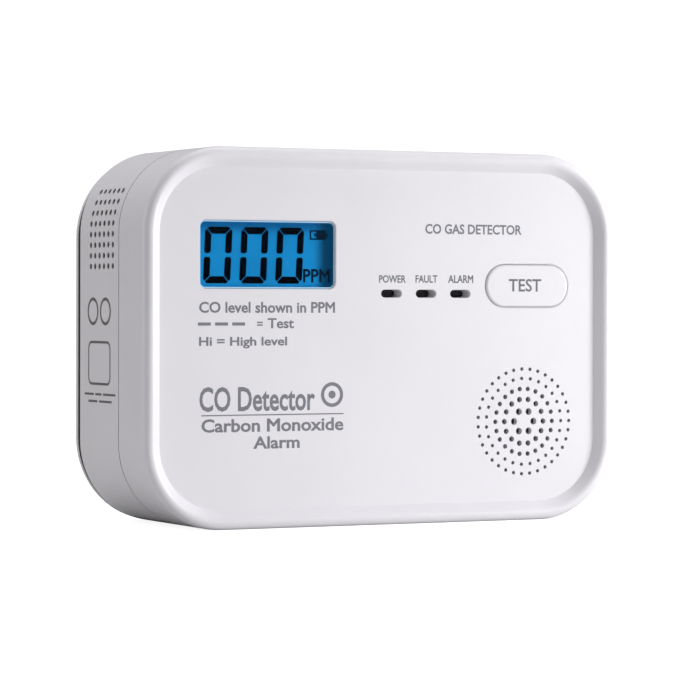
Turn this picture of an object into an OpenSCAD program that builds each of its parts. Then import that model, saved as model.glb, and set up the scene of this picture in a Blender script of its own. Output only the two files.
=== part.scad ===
// Wall-mounted carbon monoxide alarm with a display, a test button and three AA cells.
//
// The parts stand upright: +X is to the right as the alarm is read, +Z is up, and the front faces -Y.
// The origin is on the wall, midway between the two wall screws. Each part is drawn lying on its back,
// with X across, Y up the wall and Z out from the wall, and upright() stands it up.

/* [Housing] */
// Width across the front
body_w = 120; // [116:1:130]
// Height of the front
body_h = 85; // [84:1:92]
// Depth from the wall to the front rim's crest
body_d = 40; // [40:0.5:46]
// Radius of the four corners
corner_r = 19; // [18:0.5:19]
// Thickness of the moulded walls
wall = 2.2; // [2:0.1:2.4]
// Depth of the front cover, from the rim's crest to the parting line
front_d = 14.4; // [14:0.1:14.8]

/* [Front rim] */
// Width of the raised rim
rim_w = 4.4; // [4:0.1:5]
// Height of the rim above the front face
rim_rise = 2; // [1.5:0.1:2.2]
// Radius of the rim's crest
rim_round = 1.7; // [1:0.1:1.8]

/* [Display window] */
// Width of the window
window_w = 33.6; // [30:0.1:34]
// Height of the window
window_h = 15.2; // [14:0.1:15.5]
// Centre of the window, across
window_x = -29.2; // [-29.5:0.1:-28.5]
// Centre of the window, up
window_z = 18.6; // [18:0.1:19]

/* [Test button] */
// Width of the button
button_w = 21.8; // [20:0.1:22]
// Height of the button
button_h = 9.7; // [9:0.1:10]
// Centre of the button, across
button_x = 37.5; // [36.5:0.1:38]
// Centre of the button, up
button_z = 11.9; // [11:0.1:12.5]
// How far the button stands proud of the front face
button_proud = 0.3; // [0:0.1:0.6]
// How far the button is pressed
button_travel = 0.7; // [0.5:0.1:0.8]

/* [Indicator slots] */
// Width of each slot
slot_w = 5.2; // [5:0.1:6]
// Height of each slot
slot_h = 1.8; // [1.6:0.1:2.2]
// Centre of the first slot, across
slot_x = 1.9; // [1.5:0.1:2.5]
// Distance from one slot to the next
slot_pitch = 8.95; // [8.5:0.05:9.2]
// Centre of the slots, up
slot_z = 10; // [9.5:0.1:11]

/* [Sounder grille] */
// Centre of the grille, across
grille_x = 36.8; // [35:0.1:37]
// Centre of the grille, up
grille_z = -19.6; // [-20:0.1:-19]

/* [Side vents] */
// Diameter of each vent hole
vent_d = 1.35; // [0.8:0.05:1.4]
// Rows of holes, up each side
vent_rows = 8; // [4:1:8]
// Holes in each row
vent_cols = 6; // [3:1:6]
// Distance from one row to the next
vent_pitch_z = 2.4; // [2:0.1:2.5]
// Distance from one hole to the next in a row
vent_pitch_y = 2.54; // [2:0.02:2.6]
// Height of the lowest row
vent_z = 16; // [15:0.1:16.5]

/* [Wall plate] */
// Distance between the two wall screws
screw_spacing = 100; // [98:0.5:102]
// Diameter of the wall screw holes
screw_hole_d = 4.4; // [4:0.1:5]
// How far the alarm lifts to come off its hooks
lift_travel = 8; // [6:0.5:8]

/* [Hidden] */
$fn = 64;

// Depths are distances out from the wall.
fit = 0.2;                          // general clearance between moulded parts
plate_t = 1.1;                      // wall plate's thickness
back_z = 2.6;                       // rear cover's back face
reveal = 0.3;                       // groove at the parting line
parting_z = body_d - front_d;       // front cover's rear edge
rear_top_z = parting_z - reveal;    // rear cover's front edge
face_z = body_d - rim_rise;         // flat front face
face_in_z = face_z - wall;          // its inner side
back_in_z = back_z + wall;          // rear wall's inner side
tongue_in = 1.2;                    // tongue's distance inside the outline
tongue_h = 2.3;                     // tongue's height above the rear cover's edge
inner_w = body_w - 2 * wall;
inner_h = body_h - 2 * wall;
inner_r = corner_r - wall;

// Case screws, at the four corners
boss_x = body_w / 2 - 13;
boss_y = body_h / 2 - 7.5;
boss_d = 6.4;
column_d = 8.4;
case_screw_d = 2.6;
case_screw_head_d = 5.4;
case_screw_seat_z = 14;
boss_z = rear_top_z - 0.1;          // where the front bosses meet the rear columns

// Main circuit board
board_t = 1.6;
board_z = parting_z - 0.2;          // its rear face
board_top_z = board_z + board_t;
board_posts = [[-30, 33.5], [30, 33.5], [-30, -33.5], [14, -33.5]];
board_screw_d = 2;

// Display stack, from the front inwards
window_r = 1.5;
lens_recess = 0.4;
lens_edge = 0.25;                   // chamfer round the lens's front
lens_top_z = face_z - lens_recess;
lens_margin = 1.2;                  // flange that holds the lens behind the window
lens_flange_t = 0.8;
lens_z = face_z - 1.8;
glass_w = window_w + 5.2;
glass_h = window_h + 3.6;
glass_t = 2;
glass_z = lens_z - fit - glass_t;
backlight_t = 3;
backlight_z = glass_z - backlight_t;
backlight_w = window_w + 2;
backlight_h = window_h + 0.6;
holder_wall = 1;
strip_t = 1.2;                      // connector strips, one above the backlight and one below
strip_y = backlight_h / 2 + 0.2 + strip_t / 2;

// Test button
button_gap = 0.12;
button_edge = 0.5;                  // rounding of the button's front edge
flange_w = 1.3;                     // flange that keeps the button in
flange_t = 1.1;
flange_z = face_in_z - fit - flange_t;
stem_d = 4.4;
switch_size = 6;
switch_h = 3.4;
plunger_d = 3.4;
plunger_h = button_travel + 0.9;    // how far it stands out of the switch
plunger_in = 1.2;                   // how far it reaches in
plunger_z = board_top_z + switch_h + plunger_h;

// Indicators
guide_recess = 3.4;
collar_len = 3;                     // collar behind each slot, inwards from the front wall
collar_t = 0.8;
collar_z = face_in_z - collar_len;
led_d = 3;
led_h = 4.4;

// Sounder
ring_r = [2.6, 5.2, 7.6, 10, 12.2];
ring_holes = [6, 14, 22, 27, 35];
ring_hole_d = [1.6, 1.3, 1.1, 0.85, 0.85];
grille_t = 1.4;                     // thinner wall behind the grille
grille_in_z = face_z - grille_t;
sounder_r = 14.8;
sounder_wall = 1.5;
sounder_h = 6.5;
gasket_t = 0.3;
sounder_top_z = face_in_z - gasket_t;
disc_r = 13.2;
disc_t = 0.25;
disc_z = sounder_top_z - 4.5;
ceramic_r = 9.8;
ceramic_t = 0.2;
lug_x = 18.2;
lug_t = 1.6;

// Cells and their bay
cell_d = 14.5;
cell_len = 49.2;
cell_tip_len = 1.3;
cell_tip_d = 5.5;
cell_pitch = 14.8;
bay_x = 28;                         // half of the bay's inner length
bay_y0 = -27;
bay_y1 = 17.6;
bay_wall = 1.5;
bay_floor_z = 19.9;
cell_z = 12.4;
cell_y = [for (i = [-1:1]) (bay_y0 + bay_y1) / 2 + i * cell_pitch];
contact_t = 0.4;
spring_len = 2 * (bay_x - contact_t) - cell_len - cell_tip_len;
spring_wire = 0.35;
terminal_w = 3.6;                   // strips that carry the current to the board
terminal_z = 16;

// Battery door
door_t = 1.6;
door_x = 30;                        // half of its width
door_y0 = -29;                      // its free edge
hinge_y = 21;
hinge_z = 4.6;
barrel_r = 1.6;
barrel_x = 28;
hinge_pin_r = 1;
hinge_pin_len = 2;
hinge_hole_r = 1.07;
trough_y0 = hinge_y - barrel_r - 0.4;
trough_y1 = hinge_y + barrel_r + 0.6;
shoulder_y = trough_y0 - 1.4;       // where the door narrows to its barrel
trough_floor_z = 6.5;
trough_wall = 1.2;
catch_w = 12;                       // springy catch tongue
catch_len = 9;
catch_slit = 0.8;
grip_h = 0.25;

// Wall plate and its hooks
plate_w = body_w - 0.4;
plate_h = body_h - 0.5;
plate_y = (plate_h - body_h) / 2;   // its lower edge is level with the housing's
plate_r = corner_r + 0.5;
plate_rib_in = 4.5;                 // stiffening rib's distance inside the plate's edge
plate_window = [68, 63];
plate_window_y = 0.8;
hook_x = 40;
hook_y = [16, -20];
hook_w = 5.6;
hook_t = 2.4;
hook_tongue_len = 6;
hook_tongue_t = 2;
hook_pad = [11, 15];
screw_pocket = [10, 19];
screw_pocket_y = -4;
screw_pocket_depth = 2.6;

// Gas sensor
sensor = [-42, 19];
sensor_r = 10;
sensor_h = 15.3;
sensor_cap_r = 7;
sensor_cap_h = 1.2;

function tangent_point(p, c, r) =
    let (v = c - p, len = norm(v), run = sqrt(len * len - r * r), a = atan2(v.y, v.x) + asin(r / len))
    p + run * [cos(a), sin(a)];

// ---- Shared shapes ----

module upright() {
    rotate([90, 0, 0]) children();
}

module rounded_rect(w, h, r) {
    square([w, h - 2 * r], center = true);
    square([w - 2 * r, h], center = true);
    for (x = [-1, 1], y = [-1, 1])
        translate([x * (w / 2 - r), y * (h / 2 - r)]) circle(r);
}

module stadium(w, h) {
    square([w - h, h], center = true);
    for (x = [-1, 1])
        translate([x * (w - h) / 2, 0]) circle(h / 2);
}

// A rounded slab from depth z0 to depth z1.
module slab(w, h, r, z0, z1) {
    translate([0, 0, z0]) linear_extrude(z1 - z0) rounded_rect(w, h, r);
}

module stadium_slab(w, h, z0, z1) {
    translate([0, 0, z0]) linear_extrude(z1 - z0) stadium(w, h);
}

// A block between two corners.
module block(a, b) {
    translate(a) cube(b - a);
}

module disc(r, z0, z1) {
    translate([0, 0, z0]) cylinder(r = r, h = z1 - z0);
}

// Sweeps a profile round a rounded rectangle. The profile's x is the distance outside the outline.
module sweep_round(w, h, r) {
    for (i = [0:3])
        rotate(90 * i) {
            across = i % 2 == 0 ? w : h;
            along = i % 2 == 0 ? h : w;
            if (along > 2 * r + 0.01)
                translate([across / 2, along / 2 - r, 0])
                    rotate([90, 0, 0]) linear_extrude(along - 2 * r) children();
            translate([across / 2 - r, along / 2 - r, 0])
                rotate_extrude(angle = 90) translate([r, 0]) children();
        }
}

// What an outside edge loses when it is rounded by r; side is 1 where the edge faces the front.
module round_off(r, z, side) {
    difference() {
        translate([-r, side > 0 ? z - r : z - 1]) square([r + 1, r + 1]);
        translate([-r, z - side * r]) circle(r);
    }
}

// What an outside edge that faces the front loses when it is chamfered by c at depth z.
module edge_chamfer(c, z) {
    polygon([[-c, z], [0.01, z - c - 0.01], [0.01, z + 0.01], [-c, z + 0.01]]);
}

// What an edge loses when it is chamfered by c at depth z, inside a hole that opens to the front.
module mouth_chamfer(c, z) {
    polygon([[-0.01, z - c], [0, z - c], [c + 0.01, z + 0.01], [-0.01, z + 0.01]]);
}

module at_corners(x, y) {
    for (i = [-1, 1], j = [-1, 1])
        translate([i * x, j * y, 0]) children();
}

module at_points(points) {
    for (p = points)
        translate([p.x, p.y, 0]) children();
}

// A pan-head screw that points to the front, with a cross recess; its head sits below depth z.
module pan_screw(d, head_d, head_h, len, z) {
    difference() {
        union() {
            disc(d / 2, z, z + len);
            disc(head_d / 2, z - head_h, z);
        }
        for (a = [0, 90])
            rotate(a) block([-head_d * 0.3, -head_d * 0.06, z - head_h - 1],
                            [head_d * 0.3, head_d * 0.06, z - head_h * 0.45]);
    }
}

// A round tube along a list of points: rings of points, then the faces between them.
module tube(route, d, sides = 8) {
    n = len(route);
    function direction(i) =
        let (v = route[min(i + 1, n - 1)] - route[max(i - 1, 0)]) v / norm(v);
    function across(t) = let (v = cross(t, [0.13, 0.21, 0.97])) v / norm(v);
    points = [
        for (i = [0:n - 1])
            let (t = direction(i), u = across(t), w = cross(t, u))
            for (k = [0:sides - 1])
                let (a = 360 * k / sides)
                route[i] + d / 2 * (cos(a) * u + sin(a) * w)
    ];
    walls = [
        for (i = [0:n - 2], k = [0:sides - 1])
            let (p = i * sides + k, q = i * sides + (k + 1) % sides)
            each [[p, q, q + sides], [p, q + sides, p + sides]]
    ];
    caps = [
        [for (k = [sides - 1:-1:0]) k],
        [for (k = [0:sides - 1]) (n - 1) * sides + k]
    ];
    polyhedron(points, concat(walls, caps));
}

// ---- Wall plate ----

// One hook: a stem through the rear cover's slot, and a tongue that stands up behind its wall.
module hook() {
    block([-hook_w / 2, -hook_t / 2, plate_t], [hook_w / 2, hook_t / 2, back_in_z + fit]);
    block([-hook_w / 2, -hook_t / 2, back_in_z + fit],
          [hook_w / 2, hook_t / 2 + hook_tongue_len, back_in_z + fit + hook_tongue_t]);
    block([-hook_pad.x / 2, -hook_pad.y / 2, plate_t], [hook_pad.x / 2, hook_pad.y / 2, back_z - 0.1]);
}

module mounting_plate() {
    rib = 1.2;
    rib_z = back_z - 0.4;
    rib_w = plate_w - 2 * plate_rib_in;
    rib_h = plate_h - 2 * plate_rib_in;
    rib_r = plate_r - plate_rib_in;
    color("gainsboro") upright() difference() {
        union() {
            translate([0, plate_y, 0]) {
                slab(plate_w, plate_h, plate_r, 0, plate_t);
                // a stiffening rib round the edge; another goes round the window
                difference() {
                    slab(rib_w, rib_h, rib_r, plate_t, rib_z);
                    slab(rib_w - 2 * rib, rib_h - 2 * rib, rib_r - rib, 0, body_d);
                }
            }
            translate([0, plate_window_y, 0])
                slab(plate_window.x + 2 * rib, plate_window.y + 2 * rib, 4 + rib, plate_t, rib_z);
            for (x = [-hook_x, hook_x], y = hook_y)
                translate([x, y, 0]) hook();
            // pads round the wall screws
            for (x = [-1, 1])
                translate([x * screw_spacing / 2, 0, 0]) disc(5, 0, plate_t + 0.4);
        }
        translate([0, plate_window_y, 0]) slab(plate_window.x, plate_window.y, 4, -1, body_d);
        for (x = [-1, 1])
            translate([x * screw_spacing / 2, 0, 0]) disc(screw_hole_d / 2, -1, body_d);
        translate([0, plate_y, 0]) sweep_round(plate_w, plate_h, plate_r) round_off(0.25, plate_t, 1);
    }
}

// ---- Rear cover ----

module vent_holes() {
    first_z = 9.3;
    for (side = [-1, 1], row = [0:vent_rows - 1], col = [0:vent_cols - 1])
        translate([side * (body_w / 2 + 1), vent_z + row * vent_pitch_z, first_z + col * vent_pitch_y])
            rotate([0, -side * 90, 0]) cylinder(d = vent_d, h = 6.3, $fn = 24);
}

// The bay's walls and floor, and the trough for the door's hinge, as solid blocks.
module bay_blocks() {
    block([-bay_x - bay_wall, bay_y0 - bay_wall, back_z],
          [bay_x + bay_wall, trough_y0, bay_floor_z + bay_wall]);
    block([-barrel_x - hinge_pin_len - 1.4, trough_y0 - 1, back_z],
          [barrel_x + hinge_pin_len + 1.4, trough_y1 + trough_wall, trough_floor_z + trough_wall]);
}

// The room inside the bay, the door's recess, and the hinge's trough and pin holes.
module bay_room() {
    block([-bay_x, bay_y0, -1], [bay_x, bay_y1, bay_floor_z]);
    block([-door_x - fit, door_y0 - fit, -1], [door_x + fit, shoulder_y + 0.9, back_z + door_t + 0.1]);
    block([-barrel_x - 0.3, shoulder_y, -1], [barrel_x + 0.3, trough_y0 + 0.01, back_z + door_t + 0.1]);
    block([-barrel_x - 0.3, trough_y0, -1], [barrel_x + 0.3, trough_y1, trough_floor_z]);
    translate([-barrel_x - hinge_pin_len - 0.4, hinge_y, hinge_z])
        rotate([0, 90, 0]) cylinder(r = hinge_hole_r, h = 2 * (barrel_x + hinge_pin_len + 0.4));
    // slots that let the contacts' tabs through the bay's end walls
    for (p = [[bay_x, cell_y[0]], [-bay_x - bay_wall, cell_y[2]]])
        block([p.x - 0.1, p.y - terminal_w / 2 - fit, terminal_z - fit],
              [p.x + bay_wall + 0.1, p.y + terminal_w / 2 + fit, terminal_z + contact_t + fit]);
}

module hook_slots() {
    for (x = [-hook_x, hook_x], y = hook_y)
        block([x - hook_w / 2 - 0.4, y - hook_t / 2 - lift_travel - 0.4, back_z - 1],
              [x + hook_w / 2 + 0.4, y + hook_t / 2 + 0.1, back_in_z + 1]);
}

module screw_pockets(grow, z0, z1) {
    w = screw_pocket.x + 2 * grow;
    h = screw_pocket.y + 2 * grow;
    for (x = [-1, 1])
        translate([x * screw_spacing / 2, screw_pocket_y, 0]) slab(w, h, w / 2 - 0.01, z0, z1);
}

module rear_cover() {
    color("whitesmoke") upright() difference() {
        union() {
            difference() {
                slab(body_w, body_h, corner_r, back_z, rear_top_z);
                slab(inner_w, inner_h, inner_r, back_in_z, body_d);
            }
            difference() {
                slab(body_w - 2 * tongue_in, body_h - 2 * tongue_in, corner_r - tongue_in,
                     rear_top_z - 1, rear_top_z + tongue_h);
                slab(inner_w, inner_h, inner_r, back_in_z, body_d);
            }
            bay_blocks();
            screw_pockets(wall - 0.6, back_z, back_z + screw_pocket_depth + 1.5);
            at_corners(boss_x, boss_y) disc(column_d / 2, back_z, boss_z);
            // ribs that stiffen the back
            for (x = [-1, 1])
                block([x * 34 - 0.6, -38, back_in_z - 0.1], [x * 34 + 0.6, -34.5, back_in_z + 4]);
        }
        bay_room();
        hook_slots();
        screw_pockets(0, -1, back_z + screw_pocket_depth);
        at_corners(boss_x, boss_y) {
            disc(case_screw_d / 2 + 0.2, back_z - 1, body_d);
            disc(case_screw_head_d / 2 + 0.4, back_z - 1, case_screw_seat_z);
        }
        vent_holes();
        sweep_round(body_w, body_h, corner_r) round_off(0.5, back_z, -1);
        // finger notch at the door's free edge
        translate([0, door_y0 - 1.2, back_z - 3.4]) sphere(r = 5);
    }
}

// ---- Front cover ----

// The rim's section: a side wall, a round crest and a slope down to the front face.
module rim_section() {
    crest = [-rim_round, body_d - rim_round];
    crease = [-rim_w, face_z];
    polygon([
        [-rim_w, parting_z], [0, parting_z], [0, crest.y],
        tangent_point(crease, crest, rim_round), crease
    ]);
    translate(crest) circle(rim_round);
}

module grille_holes() {
    translate([grille_x, grille_z, 0])
        for (i = [0:len(ring_r) - 1], k = [0:ring_holes[i] - 1])
            rotate(360 * k / ring_holes[i])
                translate([ring_r[i], 0, face_in_z - 1]) cylinder(d = ring_hole_d[i], h = wall + 3, $fn = 24);
}

module at_lugs() {
    for (x = [-lug_x, lug_x])
        translate([grille_x + x, grille_z, 0]) children();
}

module at_slots() {
    for (i = [0:2])
        translate([slot_x + i * slot_pitch, slot_z, 0]) children();
}

module front_openings() {
    translate([window_x, window_z, 0]) {
        slab(window_w, window_h, window_r, face_in_z - 1, body_d);
        slab(window_w + 2 * lens_margin + fit, window_h + 2 * lens_margin + fit, window_r,
             face_in_z - 1, lens_z + lens_flange_t);
        slab(glass_w + fit, glass_h + fit, 0.4, face_in_z - 1, lens_z - fit / 2);
        sweep_round(window_w, window_h, window_r) mouth_chamfer(0.2, face_z);
    }
    at_slots() {
        stadium_slab(slot_w, slot_h, collar_z - 1, body_d);
        sweep_round(slot_w, slot_h, slot_h / 2) mouth_chamfer(0.15, face_z);
    }
    translate([button_x, button_z, 0]) {
        stadium_slab(button_w + 2 * button_gap, button_h + 2 * button_gap, face_in_z - 1, body_d);
        sweep_round(button_w + 2 * button_gap, button_h + 2 * button_gap, button_h / 2 + button_gap)
            mouth_chamfer(0.3, face_z);
    }
    grille_holes();
    translate([grille_x, grille_z, 0]) disc(disc_r, face_in_z - 1, grille_in_z);
}

module front_cover() {
    color("whitesmoke") upright() difference() {
        union() {
            difference() {
                union() {
                    slab(body_w - 2 * rim_w, body_h - 2 * rim_w, corner_r - rim_w, parting_z, face_z);
                    sweep_round(body_w, body_h, corner_r) rim_section();
                }
                slab(inner_w, inner_h, inner_r, parting_z - 1, face_in_z);
                // the rear cover's tongue goes in here
                slab(body_w - 2 * tongue_in + fit, body_h - 2 * tongue_in + fit,
                     corner_r - tongue_in + fit / 2, parting_z - 1, rear_top_z + tongue_h + fit);
            }
            at_corners(boss_x, boss_y) disc(boss_d / 2, boss_z, face_in_z + 0.1);
            at_points(board_posts) disc(2.5, board_top_z, face_in_z + 0.1);
            at_lugs() disc(2, disc_z + lug_t, face_in_z + 0.1);
            at_slots() stadium_slab(slot_w + 2 * collar_t, slot_h + 2 * collar_t, collar_z, face_in_z + 0.1);
        }
        front_openings();
        at_corners(boss_x, boss_y) disc(case_screw_d / 2, boss_z - 1, face_in_z - 1);
        at_points(board_posts) disc(board_screw_d / 2, board_top_z - 1, face_in_z - 1);
        at_lugs() disc(board_screw_d / 2, disc_z, face_in_z - 0.6);
    }
}

// ---- Battery door ----

module battery_door() {
    free_y = door_y0 + catch_len;
    color("whitesmoke") upright() difference() {
        union() {
            block([-door_x, door_y0, back_z], [door_x, shoulder_y, back_z + door_t]);
            block([-barrel_x, shoulder_y - 1, back_z], [barrel_x, hinge_y, back_z + door_t]);
            translate([-barrel_x, hinge_y, hinge_z])
                rotate([0, 90, 0]) cylinder(r = barrel_r, h = 2 * barrel_x);
            translate([-barrel_x - hinge_pin_len, hinge_y, hinge_z])
                rotate([0, 90, 0]) cylinder(r = hinge_pin_r, h = 2 * (barrel_x + hinge_pin_len));
            // grip ridges on the catch
            for (i = [0:3])
                translate([0, door_y0 + 1.5 * (i + 1), 0])
                    block([-4, 0, back_z - grip_h], [4, 0.7, back_z + 0.1]);
        }
        for (x = [-1, 1])
            block([x * catch_w / 2 - catch_slit / 2, door_y0 - 1, back_z - 1],
                  [x * catch_w / 2 + catch_slit / 2, free_y, back_in_z + 1]);
    }
}

module door_label() {
    color("silver") upright() translate([0, 3, 0]) slab(48, 28, 1.5, back_z - 0.15, back_z);
}

// ---- Display ----

// A clear block that fills the window, with a flange behind it.
module display_lens() {
    w = window_w - fit;
    h = window_h - fit;
    r = window_r - fit / 2;
    color("lightskyblue", 0.4) upright() translate([window_x, window_z, 0]) difference() {
        union() {
            slab(window_w + 2 * lens_margin, window_h + 2 * lens_margin, r, lens_z, lens_z + lens_flange_t);
            slab(w, h, r, lens_z, lens_top_z);
        }
        sweep_round(w, h, r) edge_chamfer(lens_edge, lens_top_z);
    }
}

module lcd_glass() {
    color("steelblue") upright() translate([window_x, window_z, 0])
        slab(glass_w, glass_h, 0.3, glass_z, glass_z + glass_t);
}

module lcd_backlight() {
    color("dodgerblue") upright() translate([window_x, window_z, 0])
        slab(backlight_w, backlight_h, 0.5, backlight_z, glass_z);
}

module at_strips() {
    for (y = [-strip_y, strip_y])
        translate([0, y, 0]) children();
}

// A frame that stands on the board and holds the backlight and the glass's edges.
module lcd_holder() {
    w = glass_w + fit + 2 * holder_wall;
    h = glass_h + fit + 2 * holder_wall;
    color("ivory") upright() translate([window_x, window_z, 0]) difference() {
        slab(w, h, 1, board_top_z, face_in_z - 0.1);
        slab(glass_w + fit, glass_h + fit, 0.4, glass_z, body_d);
        slab(backlight_w + 0.1, backlight_h + 0.1, 0.5, backlight_z, body_d);
        // hollow behind the backlight, and a channel for each connector strip
        slab(window_w - 4, window_h - 4, 0.5, board_top_z - 1, backlight_z + 1);
        at_strips() slab(window_w, strip_t + 0.1, 0.2, board_top_z - 1, body_d);
    }
}

module lcd_connector_strips() {
    color("dimgray") upright() translate([window_x, window_z, 0])
        at_strips() slab(window_w - 0.4, strip_t, 0.2, board_top_z, glass_z);
}

// ---- Test button and its switch ----

module test_button() {
    top_z = face_z + button_proud;
    color("whitesmoke") upright() translate([button_x, button_z, 0]) difference() {
        union() {
            stadium_slab(button_w, button_h, flange_z, top_z);
            stadium_slab(button_w + 2 * flange_w, button_h + 2 * flange_w, flange_z, flange_z + flange_t);
            disc(stem_d / 2, plunger_z + 0.02, flange_z + 0.1);
        }
        sweep_round(button_w, button_h, button_h / 2) round_off(button_edge, top_z, 1);
    }
}

module test_switch_body() {
    s = switch_size;
    color("dimgray") upright() translate([button_x, button_z, 0]) {
        difference() {
            slab(s, s, 0.4, board_top_z, board_top_z + switch_h);
            disc(plunger_d / 2 + 0.1, board_top_z + switch_h - plunger_in - button_travel - 0.2, body_d);
        }
        for (x = [-1, 1], y = [-1, 1])
            block([x * 3.2 - 0.35 + x * 0.15, y * 2.2 - 0.4, board_top_z],
                  [x * 3.2 + 0.35 + x * 0.15, y * 2.2 + 0.4, board_top_z + 0.6]);
    }
}

module test_switch_plunger() {
    color("black") upright() translate([button_x, button_z, 0])
        disc(plunger_d / 2, board_top_z + switch_h - plunger_in, plunger_z);
}

// ---- Indicators ----

module light_guide(i) {
    top_z = face_z - guide_recess;
    color("lightcyan", 0.6) upright() translate([slot_x + i * slot_pitch, slot_z, 0]) {
        stadium_slab(slot_w - 0.3, slot_h - 0.3, board_top_z + led_h + 0.2, top_z);
        stadium_slab(slot_w + 1.2, slot_h + 1.4, collar_z - 1, collar_z);
    }
}

module led(i, shade) {
    color(shade) upright() translate([slot_x + i * slot_pitch, slot_z, 0]) {
        disc(led_d / 2 + 0.3, board_top_z, board_top_z + 1);
        disc(led_d / 2, board_top_z + 1, board_top_z + led_h - led_d / 2);
        intersection() {
            translate([0, 0, board_top_z + led_h - led_d / 2]) sphere(d = led_d);
            disc(led_d, board_top_z + led_h - led_d / 2, board_top_z + led_h);
        }
    }
}

// ---- Sounder ----

module at_grille() {
    upright() translate([grille_x, grille_z, 0]) children();
}

module sounder_gauze() {
    color("dimgray") at_grille() disc(disc_r - 0.2, grille_in_z - 0.2, grille_in_z);
}

module sounder_gasket() {
    color("darkslategray") at_grille() difference() {
        disc(sounder_r, sounder_top_z, face_in_z);
        disc(disc_r, sounder_top_z - 1, body_d);
    }
}

module sounder_housing() {
    base_z = sounder_top_z - sounder_h;
    color("ivory") at_grille() difference() {
        union() {
            disc(sounder_r, base_z, sounder_top_z);
            for (a = [0, 180])
                rotate(a) {
                    block([sounder_r - 1, -2.4, disc_z], [lug_x, 2.4, disc_z + lug_t]);
                    translate([lug_x, 0, 0]) disc(2.4, disc_z, disc_z + lug_t);
                }
        }
        disc(sounder_r - sounder_wall, disc_z, body_d);
        disc(disc_r - 2, base_z - 1, disc_z + 0.1);
        for (x = [-lug_x, lug_x])
            translate([x, 0, 0]) disc(board_screw_d / 2 + 0.1, 0, body_d);
    }
}

module sounder_disc() {
    color("goldenrod") at_grille() disc(disc_r, disc_z, disc_z + disc_t);
}

module sounder_ceramic() {
    color("lightgray") at_grille() disc(ceramic_r, disc_z - ceramic_t, disc_z);
}

// Spring pins from the board: one presses on the ceramic and the other on the metal disc's edge.
module sounder_contacts() {
    color("gold") at_grille()
        for (pin = [[-6, disc_z - ceramic_t], [(ceramic_r + disc_r - 2) / 2, disc_z]])
            translate([pin[0], 0, 0]) {
                disc(0.6, board_top_z, pin[1] - 1.2);
                disc(0.35, pin[1] - 1.2, pin[1]);
            }
}

// ---- Circuit board ----

module main_board() {
    color("seagreen") upright() difference() {
        slab(inner_w - 2.6, inner_h - 2.6, inner_r - 1.3, board_z, board_top_z);
        at_corners(boss_x, boss_y) disc(boss_d / 2 + 0.4, 0, body_d);
        at_points(board_posts) disc(board_screw_d / 2 + 0.1, 0, body_d);
        for (p = sensor_pin_places)
            translate([p.x, p.y, 0]) disc(0.7, 0, body_d);
    }
}

// A rectangular part on the rear of the board, h tall.
module on_board(x, y, w, l, h) {
    block([x - w / 2, y - l / 2, board_z - h], [x + w / 2, y + l / 2, board_z]);
}

module microcontroller() {
    legs = 8;
    color("black") upright() {
        on_board(-8, 27, 9, 9, 1.4);
        for (i = [0:legs - 1], side = [-1, 1]) {
            on_board(-8 + side * 4.95, 27 + (i - (legs - 1) / 2), 0.9, 0.4, 0.5);
            on_board(-8 + (i - (legs - 1) / 2), 27 + side * 4.95, 0.4, 0.9, 0.5);
        }
    }
}

module driver_chips() {
    color("black") upright() {
        on_board(14, 27, 5, 4, 1.5);
        on_board(22, 8, 4, 5, 1.5);
        on_board(-20, 12, 5, 4, 1.5);
    }
}

module chip_resistors() {
    color("saddlebrown") upright()
        for (x = [-26:4:26], y = [16.6, 19.6])
            on_board(x, y + (abs(x) % 3) * 0.4, 1.2, 2, 0.6);
}

module smoothing_capacitor() {
    color("midnightblue") upright() translate([40.5, 27, 0]) {
        disc(4, board_z - 10.5, board_z);
        disc(3.6, board_z - 11, board_z - 10.5);
    }
}

module boost_coil() {
    color("peru") upright() translate([48.5, 14, 0]) {
        disc(4.6, board_z - 1, board_z);
        disc(3.2, board_z - 8, board_z - 1);
        disc(4.6, board_z - 9, board_z - 8);
    }
}

// ---- Gas sensor ----

sensor_pin_places = [for (a = [90, 210, 330]) sensor + 6.5 * [cos(a), sin(a)]];
sensor_base_z = board_z - 0.6;

module co_sensor_body() {
    color("whitesmoke") upright() translate([sensor.x, sensor.y, 0]) {
        disc(sensor_r, sensor_base_z - sensor_h, sensor_base_z);
        for (a = [0, 120, 240])
            rotate(a) translate([8, 0, 0]) disc(0.9, sensor_base_z, board_z);
    }
}

// The perforated metal cap over the cell's gas inlet.
module co_sensor_cap() {
    top_z = sensor_base_z - sensor_h;
    color("silver") upright() translate([sensor.x, sensor.y, 0]) difference() {
        disc(sensor_cap_r, top_z - sensor_cap_h, top_z);
        for (a = [0:60:300])
            rotate(a) translate([3.2, 0, 0]) disc(0.6, 0, body_d);
    }
}

module co_sensor_pins() {
    color("gold") upright()
        for (p = sensor_pin_places)
            translate([p.x, p.y, 0]) disc(0.55, sensor_base_z, board_top_z - 0.1);
}

// Fine screens against the vents' inner side, following the corner.
module dust_screens() {
    gap = 0.1;
    t = 0.4;
    color("gray") upright() intersection() {
        difference() {
            slab(inner_w - 2 * gap, inner_h - 2 * gap, inner_r - gap, 7.5, 23.5);
            slab(inner_w - 2 * gap - 2 * t, inner_h - 2 * gap - 2 * t, inner_r - gap - t, 0, body_d);
        }
        for (x = [-1, 1])
            block([x > 0 ? 40 : -body_w, 14, 0], [x > 0 ? body_w : -40, 34.6, body_d]);
    }
}

// ---- Cells and contacts ----

// One AA cell along X; its tip points to the side given.
module cell(y, side) {
    spring_end = -side * (bay_x - contact_t - spring_len);
    color("dimgray") upright() translate([spring_end, y, cell_z]) rotate([0, side * 90, 0]) {
        cylinder(d = cell_d, h = cell_len);
        translate([0, 0, cell_len]) cylinder(d = cell_tip_d, h = cell_tip_len);
    }
}

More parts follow.
